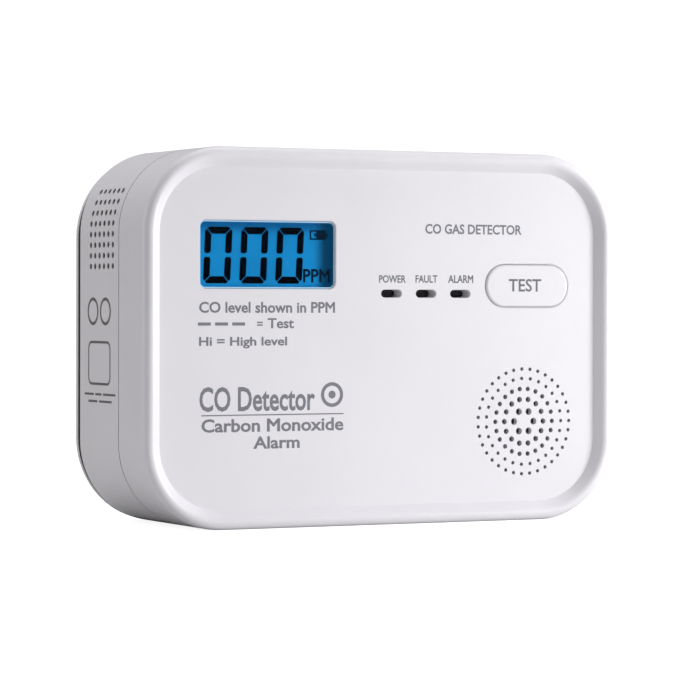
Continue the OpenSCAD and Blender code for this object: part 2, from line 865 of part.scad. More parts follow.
// A contact plate inside the bay's end wall, from one height up the wall to another.
module contact_plate(side, y0, y1) {
    tall = 11;
    x0 = side * (bay_x - contact_t);
    x1 = side * bay_x;
    block([min(x0, x1), y0 - tall / 2, cell_z - tall / 2], [max(x0, x1), y1 + tall / 2, cell_z + tall / 2]);
}

// The strip that runs from a contact plate, out through the bay's end wall and up to the board.
module terminal(side, y) {
    x0 = side * (bay_x - contact_t);
    x1 = side * (bay_x + bay_wall + 0.2);
    x2 = side * (bay_x + bay_wall + 0.2 + contact_t);
    w = terminal_w / 2;
    block([min(x0, x2), y - w, terminal_z], [max(x0, x2), y + w, terminal_z + contact_t]);
    block([min(x1, x2), y - w, terminal_z], [max(x1, x2), y + w, board_z]);
}

module contact_plates() {
    color("silver") upright() {
        contact_plate(1, cell_y[0], cell_y[0]);
        contact_plate(1, cell_y[1], cell_y[2]);
        contact_plate(-1, cell_y[0], cell_y[1]);
        contact_plate(-1, cell_y[2], cell_y[2]);
        terminal(1, cell_y[0]);
        terminal(-1, cell_y[2]);
    }
}

// One conical coil that presses on a cell's flat end.
module contact_spring(y, side) {
    turns = 3;
    steps = 12;
    wide = 4.2;
    narrow = 2;
    start = -side * (bay_x - contact_t - spring_wire);
    route = [
        for (i = [0:turns * steps])
            let (t = i / (turns * steps), a = 360 * i / steps, r = wide + (narrow - wide) * t)
            [start + side * t * (spring_len - 2 * spring_wire - 0.1), y + r * cos(a), cell_z + r * sin(a)]
    ];
    tube(route, 2 * spring_wire, 6);
}

module contact_springs() {
    color("silver") upright() {
        contact_spring(cell_y[0], 1);
        contact_spring(cell_y[1], -1);
        contact_spring(cell_y[2], 1);
    }
}

// ---- Screws ----

module case_screws() {
    color("silver") upright() at_corners(boss_x, boss_y)
        pan_screw(case_screw_d, case_screw_head_d, 2, 19.5, case_screw_seat_z);
}

module board_screws() {
    color("silver") upright() at_points(board_posts)
        pan_screw(board_screw_d, 4, 1.3, 8.5, board_z);
}

module sounder_screws() {
    color("silver") upright() at_lugs() pan_screw(board_screw_d, 3.8, 1.2, 4.2, disc_z);
}

mounting_plate();
rear_cover();
front_cover();
battery_door();
door_label();
display_lens();
lcd_glass();
lcd_backlight();
lcd_holder();
lcd_connector_strips();
test_button();
test_switch_body();
test_switch_plunger();
light_guide(0);  // power_light_guide
light_guide(1);  // fault_light_guide
light_guide(2);  // alarm_light_guide
led(0, "limegreen");  // power_led
led(1, "gold");  // fault_led
led(2, "red");  // alarm_led
sounder_gauze();
sounder_gasket();
sounder_housing();
sounder_disc();
sounder_ceramic();
main_board();
microcontroller();
driver_chips();
chip_resistors();
smoothing_capacitor();
boost_coil();
co_sensor_body();
co_sensor_cap();
co_sensor_pins();
dust_screens();
cell(cell_y[0], 1);  // battery_1
cell(cell_y[1], -1);  // battery_2
cell(cell_y[2], 1);  // battery_3
contact_plates();
contact_springs();
sounder_contacts();
case_screws();
board_screws();
sounder_screws();
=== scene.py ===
"""Looks for the wall-mounted carbon monoxide alarm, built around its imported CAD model.

Lengths are in millimetres until they reach Blender, which works in metres. +X is to the right as
the front is read, the front faces -Y, and +Z is up.
"""

import math

import bpy
from mathutils import Matrix, Vector


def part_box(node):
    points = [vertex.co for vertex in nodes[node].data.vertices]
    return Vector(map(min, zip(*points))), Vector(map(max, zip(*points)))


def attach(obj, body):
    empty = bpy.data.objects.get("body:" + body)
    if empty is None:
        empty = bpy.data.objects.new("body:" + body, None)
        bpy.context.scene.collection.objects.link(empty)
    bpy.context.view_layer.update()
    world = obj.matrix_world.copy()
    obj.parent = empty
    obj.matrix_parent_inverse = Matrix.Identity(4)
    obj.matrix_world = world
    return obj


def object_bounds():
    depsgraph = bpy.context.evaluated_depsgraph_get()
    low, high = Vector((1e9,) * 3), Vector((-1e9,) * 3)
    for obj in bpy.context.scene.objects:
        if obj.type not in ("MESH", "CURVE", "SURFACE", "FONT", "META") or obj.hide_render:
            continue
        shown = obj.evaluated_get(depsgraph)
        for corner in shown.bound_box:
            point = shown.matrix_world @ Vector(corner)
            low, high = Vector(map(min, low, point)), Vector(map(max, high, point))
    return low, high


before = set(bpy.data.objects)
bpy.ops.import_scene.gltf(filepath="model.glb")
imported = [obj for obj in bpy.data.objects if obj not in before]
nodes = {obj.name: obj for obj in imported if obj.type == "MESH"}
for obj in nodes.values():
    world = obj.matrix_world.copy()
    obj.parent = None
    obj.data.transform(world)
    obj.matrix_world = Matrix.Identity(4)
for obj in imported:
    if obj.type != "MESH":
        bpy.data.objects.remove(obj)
cad_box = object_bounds()
MM = 0.001


# ---- Sizes, from the frame ----

def span(node):
    """The lowest and highest corners of a CAD node, in millimetres."""
    low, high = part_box(node)
    return low / MM, high / MM


def middle(node):
    low, high = span(node)
    return (low + high) / 2


front_low = span("front_cover")[0]
RIM_RISE = 2.0                          # how far the rim stands in front of the face
LENS_FLANGE = Vector((1.2, 0.0, 1.2))   # how far the lens reaches past its window on each side
FACE_Y = front_low.y + RIM_RISE
SIDE_X = front_low.x
GLASS_Y = span("lcd_glass")[0].y
window_low = span("display_lens")[0] + LENS_FLANGE
window_high = span("display_lens")[1] - LENS_FLANGE
BUTTON_Y = span("test_button")[0].y
INK = 0.02          # thickness of printed ink
LCD_INK = 0.04      # thickness of a display segment
BURIED = 0.01       # how far ink reaches into its surface


# ---- Materials ----

def new_material(name):
    """A new material, its node tree and its Principled shader."""
    material = bpy.data.materials.new(name)
    material.use_nodes = True
    return material, material.node_tree, material.node_tree.nodes["Principled BSDF"]


def add_node(tree, kind, inputs=None, **settings):
    node = tree.nodes.new(kind)
    for key, value in settings.items():
        setattr(node, key, value)
    for key, value in (inputs or {}).items():
        node.inputs[key].default_value = value
    return node


def noise(tree, scale, detail=2.0, roughness=0.5, stretch=(1, 1, 1)):
    """Noise in object space; scale is in features per metre."""
    coords = add_node(tree, "ShaderNodeTexCoord")
    mapping = add_node(tree, "ShaderNodeMapping", {"Scale": stretch})
    texture = add_node(tree, "ShaderNodeTexNoise",
                       {"Scale": scale, "Detail": detail, "Roughness": roughness})
    tree.links.new(coords.outputs["Object"], mapping.inputs["Vector"])
    tree.links.new(mapping.outputs["Vector"], texture.inputs["Vector"])
    return texture.outputs["Fac"]


def ramp(tree, source, low, high, start=0.35, end=0.65):
    """Colours, or greys from numbers, spread over a part of the source's range."""
    node = add_node(tree, "ShaderNodeValToRGB")
    node.color_ramp.elements[0].position = start
    node.color_ramp.elements[1].position = end
    node.color_ramp.elements[0].color = as_colour(low)
    node.color_ramp.elements[1].color = as_colour(high)
    tree.links.new(source, node.inputs["Fac"])
    return node.outputs["Color"]


def as_colour(value):
    return (*value, 1) if isinstance(value, tuple) else (value, value, value, 1)


def mix(tree, factor, first, second, blend="MIX"):
    """Blends two colours; each input is a socket, a colour or a number."""
    node = add_node(tree, "ShaderNodeMix", data_type="RGBA", blend_type=blend)
    for socket, value in ((node.inputs[0], factor), (node.inputs[6], first), (node.inputs[7], second)):
        if isinstance(value, bpy.types.NodeSocket):
            tree.links.new(value, socket)
        else:
            socket.default_value = value if socket == node.inputs[0] else as_colour(value)
    return node.outputs[2]


def fade(tree, value, start, end):
    """0 where the value is at start and 1 where it is at end, in millimetres."""
    node = add_node(tree, "ShaderNodeMapRange", {1: start * MM, 2: end * MM},
                    interpolation_type="SMOOTHSTEP")
    tree.links.new(value, node.inputs[0])
    return node.outputs[0]


def paint_gap_shade(tree, colour, width, dark, own_only, closed, open_sky):
    """Paints shade into a colour in gaps and holes up to about this wide, in millimetres, where little light
    gets in.

    With own_only, gaps between one piece and another don't count. The colour is darkest where the open share
    of the sky is closed or less, and is itself where that share is open_sky or more.
    """
    sky = add_node(tree, "ShaderNodeAmbientOcclusion", {"Distance": width * MM},
                   samples=8, only_local=own_only)
    shadow = ramp(tree, sky.outputs["AO"], dark, 1.0, closed, open_sky)
    return mix(tree, 1.0, colour, shadow, "MULTIPLY")


def object_axes(tree):
    """X, Y and Z at each point, in the object's own metres."""
    coords = add_node(tree, "ShaderNodeTexCoord")
    split = add_node(tree, "ShaderNodeSeparateXYZ")
    tree.links.new(coords.outputs["Object"], split.inputs["Vector"])
    return split.outputs


def bump(tree, shader, height, strength, distance):
    node = add_node(tree, "ShaderNodeBump", {"Strength": strength, "Distance": distance * MM})
    tree.links.new(height, node.inputs["Height"])
    tree.links.new(node.outputs["Normal"], shader.inputs["Normal"])


def shade(colour, factor):
    return tuple(min(1.0, c * factor) for c in colour)


def mottle(tree, shader, source, colour, darkest, lightest):
    """Gives the shader this colour, varied with the source between two factors."""
    tone = ramp(tree, source, shade(colour, darkest), shade(colour, lightest))
    tree.links.new(tone, shader.inputs["Base Color"])


# Noise, in features per metre
FLOW_SCALE = 35         # the plastic's tone
GLOSS_SCALE = 900       # the plastic's gloss
GRAIN_SCALE = 3500      # the mould's spark-eroded grain
HAZE_SCALE = 500        # clear plastic
INK_SCALE = 2500
GLOW_SCALE = 150        # the display's ground
WEAR_SCALE = 700        # the cells' sleeves

# Heights of bumps, in millimetres
GRAIN_HEIGHT = 0.03
SCRATCH_HEIGHT = 0.02
WEAVE_HEIGHT = 0.05

# The last five inputs of the function that paints shade into gaps and holes
GAP_SHADE = (1.3, 0.3, False, 0.35, 0.8)
FACE_GAP_SHADE = (1.3, 0.7, True, 0.35, 0.8)
REAR_GAP_SHADE = (1.6, 0.35, False, 0.35, 0.8)
PLATE_GAP_SHADE = (4.0, 0.04, False, 0.55, 0.88)


def moulded_plastic(name, colour, roughness=0.38, grain=0.05, variation=0.015, sheen_depth=0.06, gaps=GAP_SHADE):
    """Injection-moulded plastic: a fine spark-eroded grain, and faint flow variation in tone and gloss.

    Its colour also carries painted shade in gaps and holes.
    """
    material, tree, shader = new_material(name)
    flow = noise(tree, FLOW_SCALE, 3)
    tone = ramp(tree, flow, shade(colour, 1 - variation), shade(colour, 1 + variation))
    # the tone gets painted shade in gaps and holes
    tree.links.new(paint_gap_shade(tree, tone, *gaps), shader.inputs["Base Color"])
    gloss = ramp(tree, noise(tree, GLOSS_SCALE), roughness - sheen_depth, roughness + sheen_depth)
    tree.links.new(gloss, shader.inputs["Roughness"])
    bump(tree, shader, noise(tree, GRAIN_SCALE), grain, GRAIN_HEIGHT)
    return material


def metal(name, colour, roughness=0.3, stretch=(1, 1, 1), scale=1200):
    """Metal with fine scratches along one direction."""
    material, tree, shader = new_material(name)
    shader.inputs["Metallic"].default_value = 1
    scratches = noise(tree, scale, 3, 0.6, stretch)
    mottle(tree, shader, scratches, colour, 0.9, 1.06)
    tree.links.new(ramp(tree, scratches, roughness - 0.08, roughness + 0.1), shader.inputs["Roughness"])
    bump(tree, shader, scratches, 0.08, SCRATCH_HEIGHT)
    return material


def clear_plastic(name, colour, transmission, roughness=0.08, ior=1.46):
    material, tree, shader = new_material(name)
    shader.inputs["Transmission Weight"].default_value = transmission
    shader.inputs["IOR"].default_value = ior
    haze = noise(tree, HAZE_SCALE)
    mottle(tree, shader, haze, colour, 0.97, 1.0)
    tree.links.new(ramp(tree, haze, roughness * 0.7, roughness * 1.3), shader.inputs["Roughness"])
    return material


def painted_glow_edge(name, colour, glow):
    """A polished edge of the clear lens, with a painted glow that stands in for its highlight."""
    material, tree, shader = new_material(name)
    shader.inputs["Roughness"].default_value = 0.3
    shader.inputs["Emission Color"].default_value = as_colour(colour)
    shader.inputs["Emission Strength"].default_value = glow
    mottle(tree, shader, noise(tree, HAZE_SCALE), colour, 0.95, 1.05)
    return material


def ink(name, colour, shine=0.5):
    """Pad-printed ink, slightly uneven."""
    material, tree, shader = new_material(name)
    shader.inputs["Roughness"].default_value = 0.55
    shader.inputs["Specular IOR Level"].default_value = shine
    mottle(tree, shader, noise(tree, INK_SCALE), colour, 0.9, 1.1)
    return material


WHITE = (0.825, 0.808, 0.845)
LCD_BLUE = (0.005, 0.22, 0.52)
LCD_EDGE = (0.002, 0.090, 0.255)
# The display's ground at its right end, darkened by a painted shadow of the window's right wall
LCD_RIGHT_SHADE = (0.001, 0.042, 0.105)
SLEEVE_DARK = (0.030, 0.032, 0.036)
SLEEVE_COPPER = (0.50, 0.24, 0.10)

# Where the display's ground starts to darken and where it is darkest, in millimetres from the window's edge.
# Inwards is positive.
TOP_FADE = (3.6, 0.6)
BOTTOM_FADE = (1.6, -0.8)
LEFT_FADE = (1.4, -0.6)
RIGHT_SHADE_FADE = (5.0, 1.6)

# Where the copper band starts on a cell, from its middle, and half the width of the join, in millimetres
BAND_START = 10.0
BAND_BLUR = 0.1


def lcd_material(name):
    """The display's lit blue ground: darker at the top, bottom and left, and much darker at the right.

    The darkening at the right is a painted shadow of the window's right wall.
    """
    material, tree, shader = new_material(name)
    shader.inputs["Roughness"].default_value = 0.5
    shader.inputs["Specular IOR Level"].default_value = 0.05
    shader.inputs["Emission Strength"].default_value = 1.0
    axes = object_axes(tree)
    low, high = window_low, window_high
    edges = (
        (fade(tree, axes["Z"], high.z - TOP_FADE[0], high.z - TOP_FADE[1]), LCD_EDGE),
        (fade(tree, axes["Z"], low.z + BOTTOM_FADE[0], low.z + BOTTOM_FADE[1]), LCD_EDGE),
        (fade(tree, axes["X"], low.x + LEFT_FADE[0], low.x + LEFT_FADE[1]), LCD_EDGE),
        # painted shadow of the window's right wall
        (fade(tree, axes["X"], high.x - RIGHT_SHADE_FADE[0], high.x - RIGHT_SHADE_FADE[1]), LCD_RIGHT_SHADE),
    )
    glow = ramp(tree, noise(tree, GLOW_SCALE, 3), shade(LCD_BLUE, 0.93), shade(LCD_BLUE, 1.05))
    for share, colour in edges:
        glow = mix(tree, share, glow, colour)
    tree.links.new(glow, shader.inputs["Emission Color"])
    tree.links.new(mix(tree, 0.9, glow, (0.0, 0.0, 0.0)), shader.inputs["Base Color"])
    return material


def cell_sleeve(name, tip_side):
    """A cell's printed sleeve: dark, with a copper-coloured band towards its tip, at +X if tip_side is 1."""
    material, tree, shader = new_material(name)
    along = object_axes(tree)["X"]
    in_band = fade(tree, along, tip_side * (BAND_START - BAND_BLUR), tip_side * (BAND_START + BAND_BLUR))
    printed = mix(tree, in_band, SLEEVE_DARK, SLEEVE_COPPER)
    wear = ramp(tree, noise(tree, WEAR_SCALE, 3), 0.94, 1.0)
    tree.links.new(mix(tree, 1.0, printed, wear, "MULTIPLY"), shader.inputs["Base Color"])
    tree.links.new(ramp(tree, noise(tree, GLOSS_SCALE), 0.24, 0.29), shader.inputs["Roughness"])
    shader.inputs["Metallic"].default_value = 0.4
    return material


def board_material(name):
    """Green solder mask with a faint pattern of tracks under it."""
    material, tree, shader = new_material(name)
    coords = add_node(tree, "ShaderNodeTexCoord")
    bricks = add_node(tree, "ShaderNodeTexBrick", {
        "Color1": (0.02, 0.16, 0.07, 1), "Color2": (0.03, 0.22, 0.10, 1), "Mortar": (0.05, 0.30, 0.15, 1),
        "Scale": 90.0, "Mortar Size": 0.03})
    mapping = add_node(tree, "ShaderNodeMapping", {"Rotation": (math.radians(90), 0, 0)})
    tree.links.new(coords.outputs["Object"], mapping.inputs["Vector"])
    tree.links.new(mapping.outputs["Vector"], bricks.inputs["Vector"])
    tree.links.new(bricks.outputs["Color"], shader.inputs["Base Color"])
    shader.inputs["Roughness"].default_value = 0.35
    bump(tree, shader, bricks.outputs["Fac"], 0.2, 0.03)
    return material


def mesh_cloth(name, colour, pitch):
    """A fine woven screen; pitch is in millimetres."""
    material, tree, shader = new_material(name)
    coords = add_node(tree, "ShaderNodeTexCoord")
    weave = add_node(tree, "ShaderNodeTexVoronoi", {"Scale": 1 / (pitch * MM), "Randomness": 0.0})
    tree.links.new(coords.outputs["Object"], weave.inputs["Vector"])
    threads = ramp(tree, weave.outputs["Distance"], shade(colour, 1.3), shade(colour, 0.3), 0.2, 0.6)
    tree.links.new(threads, shader.inputs["Base Color"])
    shader.inputs["Roughness"].default_value = 0.6
    bump(tree, shader, weave.outputs["Distance"], 0.4, WEAVE_HEIGHT)
    return material


# These plastics carry painted shade in their gaps and holes; the plate's, behind the housing, is darkest
housing_white = moulded_plastic("housing_white", WHITE, gaps=FACE_GAP_SHADE)
rear_white = moulded_plastic("rear_white", WHITE, gaps=REAR_GAP_SHADE)
button_white = moulded_plastic("button_white", WHITE, 0.36, gaps=FACE_GAP_SHADE)
plate_white = moulded_plastic("plate_white", shade(WHITE, 0.97), 0.45, gaps=PLATE_GAP_SHADE)
holder_ivory = moulded_plastic("holder_ivory", (0.75, 0.73, 0.67), 0.5)
dark_plastic = moulded_plastic("dark_plastic", (0.02, 0.02, 0.022), 0.4, variation=0.1)
black_plastic = moulded_plastic("black_plastic", (0.012, 0.012, 0.012), 0.25, variation=0.1)
rubber_grey = moulded_plastic("rubber_grey", (0.05, 0.05, 0.055), 0.7, 0.15, 0.1)
foam_black = moulded_plastic("foam_black", (0.012, 0.012, 0.012), 0.85, 0.4, 0.2)
sensor_white = moulded_plastic("sensor_white", (0.78, 0.78, 0.76), 0.42)
lens_clear = clear_plastic("lens_clear", (0.95, 0.98, 1.0), 1.0, 0.02, ior=1.15)
# The lens's bevel gets a painted glow, and its sides painted shade in dark blue
lens_bevel_painted_glow = painted_glow_edge("lens_bevel_painted_glow", (0.45, 0.70, 0.88), 0.25)
lens_side_painted_shade = moulded_plastic("lens_side_painted_shade", (0.003, 0.035, 0.08), 0.4, 0.02)
guide_smoke = clear_plastic("guide_smoke", (0.03, 0.03, 0.034), 0.35, 0.25)
led_green = clear_plastic("led_green", (0.10, 0.45, 0.12), 0.4, 0.2)
led_yellow = clear_plastic("led_yellow", (0.70, 0.50, 0.05), 0.4, 0.2)
led_red = clear_plastic("led_red", (0.55, 0.03, 0.02), 0.4, 0.2)
backlight_blue = clear_plastic("backlight_blue", (0.15, 0.55, 0.80), 0.3, 0.4)
lcd_blue = lcd_material("lcd_blue")
steel = metal("steel", (0.62, 0.62, 0.63), 0.3)
cap_metal = metal("cap_metal", (0.70, 0.70, 0.70), 0.35, (1, 1, 6))
brass = metal("brass", (0.80, 0.60, 0.25), 0.25, (1, 1, 8))
copper = metal("copper", (0.75, 0.33, 0.16), 0.3, (1, 14, 1), 600)
gold = metal("gold", (0.90, 0.68, 0.30), 0.2)
ceramic = moulded_plastic("ceramic", (0.62, 0.62, 0.60), 0.35, 0.1, 0.05)
resistor = moulded_plastic("resistor", (0.16, 0.10, 0.06), 0.5, 0.1, 0.1)
sleeve = moulded_plastic("sleeve", (0.02, 0.03, 0.12), 0.3, 0.02, 0.05)
cell_tip_left = cell_sleeve("cell_tip_left", -1)
cell_tip_right = cell_sleeve("cell_tip_right", 1)
label_film = moulded_plastic("label_film", (0.66, 0.66, 0.68), 0.42, 0.02, 0.02, 0.02)
gauze = mesh_cloth("gauze", (0.034, 0.034, 0.036), 0.35)
screen = mesh_cloth("screen", (0.03, 0.03, 0.032), 0.5)
board_green = board_material("board_green")
print_grey = ink("print_grey", (0.19, 0.19, 0.22))
print_dark = ink("print_dark", (0.14, 0.14, 0.155))
side_print = ink("side_print", (0.13, 0.13, 0.14))
segment_ink = ink("segment_ink", (0.001, 0.003, 0.008), 0.0)
sign_ink = ink("sign_ink", (0.004, 0.022, 0.048), 0.0)

NODE_MATERIALS = {
    housing_white: ["front_cover"],
    rear_white: ["rear_cover", "battery_door"],
    button_white: ["test_button"],
    plate_white: ["mounting_plate"],
    label_film: ["door_label"],
    lens_clear: ["display_lens"],
    lcd_blue: ["lcd_glass"],
    backlight_blue: ["lcd_backlight"],
    holder_ivory: ["lcd_holder", "sounder_housing"],
    rubber_grey: ["lcd_connector_strips"],
    dark_plastic: ["test_switch_body", "microcontroller", "driver_chips"],
    black_plastic: ["test_switch_plunger"],
    guide_smoke: ["power_light_guide", "fault_light_guide", "alarm_light_guide"],
    led_green: ["power_led"],
    led_yellow: ["fault_led"],
    led_red: ["alarm_led"],
    gauze: ["sounder_gauze"],
    foam_black: ["sounder_gasket"],
    brass: ["sounder_disc"],
    ceramic: ["sounder_ceramic"],
    gold: ["sounder_contacts", "co_sensor_pins"],
    board_green: ["main_board"],
    resistor: ["chip_resistors"],
    sleeve: ["smoothing_capacitor"],
    copper: ["boost_coil"],
    sensor_white: ["co_sensor_body"],
    cap_metal: ["co_sensor_cap"],
    screen: ["dust_screens"],
    cell_tip_right: ["battery_1", "battery_3"],
    cell_tip_left: ["battery_2"],
    steel: ["contact_plates", "contact_springs", "case_screws", "board_screws", "sounder_screws"],
}
for material, names in NODE_MATERIALS.items():
    for name in names:
        nodes[name].data.materials.clear()
        nodes[name].data.materials.append(material)


TIP_RADIUS = 6.0        # a cell's faces nearer its axis than this are steel

# What share of a face's direction tells it from its neighbours
END_ON = 0.5            # a cell's ends have more than this along X
EDGE_ON = 0.1           # the lens's sides have less than this along Y
FLAT_ON = 0.9           # the lens's flat front has more than this towards -Y


def finish_cells():
    """The cells' ends and tips are bare steel inside the sleeve."""
    for name in ("battery_1", "battery_2", "battery_3"):
        mesh = nodes[name].data
        mesh.materials.append(steel)
        centre = middle(name)
        for face in mesh.polygons:
            away = face.center / MM - centre
            if abs(face.normal.x) > END_ON or math.hypot(away.y, away.z) < TIP_RADIUS:
                face.material_index = 1


def finish_lens_edges():
    """The lens's bevel gets a painted glow in place of its highlight, and its sides a painted shade in dark
    blue.
    """
    mesh = nodes["display_lens"].data
    mesh.materials.append(lens_bevel_painted_glow)
    mesh.materials.append(lens_side_painted_shade)
    for face in mesh.polygons:
        if abs(face.normal.y) < EDGE_ON:
            face.material_index = 2
        elif -FLAT_ON < face.normal.y < 0:
            face.material_index = 1


finish_lens_edges()
finish_cells()


# ---- Thin printed pieces ----

# Each surface that is printed on: where a point (across, up, out) of the print goes, in millimetres.
def on_front(across, up, out):
    return Vector((across, FACE_Y - out, up))


def on_button(across, up, out):
    return Vector((across, BUTTON_Y - out, up))


def on_glass(across, up, out):
    return Vector((across, GLASS_Y - out, up))


def on_left_side(across, up, out):
    """Across is the distance forward from the wall."""
    return Vector((SIDE_X - out, -across, up))


def thin_piece(name, outlines, surface, body, material, thickness=INK):
    """One piece made of flat prints. Each outline is a list of (across, up) points, anticlockwise as read."""
    points = []
    faces = []
    for outline in outlines:
        first = len(points)
        count = len(outline)
        points += [surface(a, u, -BURIED) * MM for a, u in outline]
        points += [surface(a, u, thickness) * MM for a, u in outline]
        faces.append([first + count + i for i in range(count)])
        faces.append([first + i for i in reversed(range(count))])
        faces += [[first + i, first + (i + 1) % count, first + count + (i + 1) % count, first + count + i]
                  for i in range(count)]
    mesh = bpy.data.meshes.new(name)
    mesh.from_pydata(points, [], faces)
    mesh.update()
    return finish_piece(name, mesh, body, material)


def finish_piece(name, mesh, body, material):
    piece = bpy.data.objects.new(name, mesh)
    bpy.context.scene.collection.objects.link(piece)
    mesh.materials.append(material)
    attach(piece, body)
    return piece


def rectangle(left, right, low, high, slant=0.0):
    """A rectangle that leans to the right by slant, as a share of its height."""
    lean = slant * (high - low)
    return [(left, low), (right, low), (right + lean, high), (left + lean, high)]


def arc(centre, radius, start, end, steps):
    angles = [math.radians(start + (end - start) * i / steps) for i in range(steps + 1)]
    return [(centre[0] + radius * math.cos(a), centre[1] + radius * math.sin(a)) for a in angles]


def disc(centre, radius, points):
    return arc(centre, radius, 0, 360 - 360 / points, points - 1)


def band(centre, radius, width, start, end, steps):
    """An arc-shaped stroke, cut into short pieces so that each outline stays convex."""
    outer = arc(centre, radius + width / 2, start, end, steps)
    inner = arc(centre, radius - width / 2, start, end, steps)
    return [[inner[i], outer[i], outer[i + 1], inner[i + 1]] for i in range(steps)]


def ring(centre, radius, width):
    return band(centre, radius, width, 0, 360, 36)


def lettering(name, words, box, surface, body, material, thickness=INK, weight=0.0):
    """Words in Blender's own font, fitted to a box of (left, right, low, high), as a thin mesh.

    The weight thickens each stroke, as a share of the font's size.
    """
    curve = bpy.data.curves.new(name, "FONT")
    curve.body = words
    curve.resolution_u = 3
    curve.bevel_depth = weight
    curve.bevel_resolution = 0
    curve.extrude = 0.5
    source = bpy.data.objects.new(name + "_source", curve)
    bpy.context.scene.collection.objects.link(source)
    bpy.context.view_layer.update()
    mesh = bpy.data.meshes.new_from_object(source.evaluated_get(bpy.context.evaluated_depsgraph_get()))
    bpy.data.objects.remove(source)
    mesh.name = name
    left, right, low, high = box
    xs = [v.co.x for v in mesh.vertices]
    ys = [v.co.y for v in mesh.vertices]
    wide = (right - left) / (max(xs) - min(xs))
    tall = (high - low) / (max(ys) - min(ys))
    for vertex in mesh.vertices:
        across = left + (vertex.co.x - min(xs)) * wide
        up = low + (vertex.co.y - min(ys)) * tall
        out = thickness if vertex.co.z > 0 else -BURIED
        vertex.co = surface(across, up, out) * MM
    mesh.update()
    return finish_piece(name, mesh, body, material)


# ---- Display ----

DIGIT_W = 7.3
DIGIT_H = 12.6
DIGIT_PITCH = 8.87
DIGIT_SLANT = 0.048
STROKE = 1.6
SEGMENT_GAP = 0.06
CORNER_CUT = 0.95
DIGITS_LEFT = -44.45
DIGITS_LOW = 12.15
HALF_SPLIT = 0.38       # half the gap between the upper and lower segments
TIP_EDGE = 0.4          # how far a segment's edges end short of its tip
TIP_SHOULDER = 0.35     # how far in from each edge its blunt tip starts
TIP_SLOPE = 0.06        # how far short of its point the blunt tip starts


def zero_outlines(left, low):
    """The six lit segments of a slanted seven-segment 0, with cut corners and a gap across the middle."""
    def lean(points):
        return [(left + a + DIGIT_SLANT * u, low + u) for a, u in points]

    w, h, t = DIGIT_W - DIGIT_SLANT * DIGIT_H, DIGIT_H, STROKE
    g, c = SEGMENT_GAP, CORNER_CUT
    mid = h / 2 + HALF_SPLIT
    tip = [(0, mid + TIP_EDGE), (TIP_SHOULDER, mid + TIP_SLOPE), (t / 2, mid),
           (t - TIP_SHOULDER, mid + TIP_SLOPE), (t, mid + TIP_EDGE)]
    top = [(c, h), (c / 2 + g, h - c / 2 + g), (t + 2 * g, h - t),
           (w - t - 2 * g, h - t), (w - c / 2 - g, h - c / 2 + g), (w - c, h)]
    bottom = [(a, h - u) for a, u in reversed(top)]
    upper_left = [(c / 2 - g, h - c / 2 - g), (0, h - c), *tip, (t, h - t - 2 * g)]
    upper_right = [(w - a, u) for a, u in reversed(upper_left)]
    lower_left = [(a, h - u) for a, u in reversed(upper_left)]
    lower_right = [(a, h - u) for a, u in reversed(upper_right)]
    return [lean(part) for part in (top, bottom, upper_left, upper_right, lower_left, lower_right)]


def battery_sign_outlines(left, right, low, high):
    """A battery seen from the side: a thick frame, its tip, a small bar and a filled end."""
    line = 0.38
    tip_length = 0.5
    bar_length = 0.55
    empty_share = 0.42
    body_right = right - tip_length
    third = (high - low) / 3
    filled = left + empty_share * (body_right - left)
    return [
        rectangle(left, body_right, high - line, high),
        rectangle(left, body_right, low, low + line),
        rectangle(left, left + line, low + line, high - line),
        rectangle(filled, body_right, low + line, high - line),
        rectangle(filled - bar_length, filled, low + third, high - third),
        rectangle(body_right, right, low + third, high - third),
    ]


for i in range(3):
    thin_piece(f"display_digit_{i + 1}", zero_outlines(DIGITS_LEFT + i * DIGIT_PITCH, DIGITS_LOW),
               on_glass, "housing", segment_ink, LCD_INK)
thin_piece("display_battery_sign", battery_sign_outlines(-18.05, -13.5, 22.05, 24.25),
           on_glass, "housing", sign_ink, LCD_INK)
lettering("display_unit", "PPM", (-19.7, -12.9, 12.45, 15.5), on_glass, "housing", sign_ink, LCD_INK, 0.025)


# ---- Printing on the front ----

def word_bars(left, right, low, high, shares):
    """Plain bars that stand for words: shares are their widths, parted by gaps of one share."""
    total = sum(shares) + len(shares) - 1
    unit = (right - left) / total
    bars = []
    start = left
    for share in shares:
        bars.append(rectangle(start, start + share * unit, low, high))
        start += (share + 1) * unit
    return bars


lettering("print_test", "TEST", (32.5, 41.2, 10.55, 13.5), on_button, "test_button", print_dark, weight=0.015)

# Each word's name, what it says, its box as (left, right, low, high), its ink and its weight
FRONT_WORDS = (
    ("power", "POWER", (-1.3, 5.6, 12.45, 14.2), print_dark, 0.02),
    ("fault", "FAULT", (8.1, 13.8, 12.5, 14.25), print_dark, 0.02),
    ("alarm", "ALARM", (16.6, 23.2, 12.5, 14.3), print_dark, 0.02),
    ("legend_level", "CO level shown in PPM", (-46.1, -12.5, 5.6, 8.1), print_grey, 0.024),
    ("legend_equals", "=", (-31.95, -30.55, 2.75, 3.65), print_grey, 0.02),
    ("legend_test", "Test", (-29.3, -22.8, 2.15, 4.45), print_grey, 0.024),
    ("legend_high", "Hi = High level", (-46.1, -24.5, -2.3, 0.3), print_grey, 0.024),
    ("kind", "CO Detector", (-46.0, -17.5, -16.3, -10.8), print_grey, 0.02),
    ("type_1", "Carbon Monoxide", (-45.5, -10.3, -20.9, -17.9), print_grey, 0.024),
    ("type_2", "Alarm", (-32.8, -21.3, -24.7, -21.9), print_grey, 0.024),
    ("corner_words", "CO GAS DETECTOR", (10.6, 36.1, 23.7, 26.0), print_grey, 0.025),
)
for name, words, box, material, weight in FRONT_WORDS:
    lettering("print_" + name, words, box, on_front, "housing", material, weight=weight)
RING_CENTRE = (-13.2, -12.8)
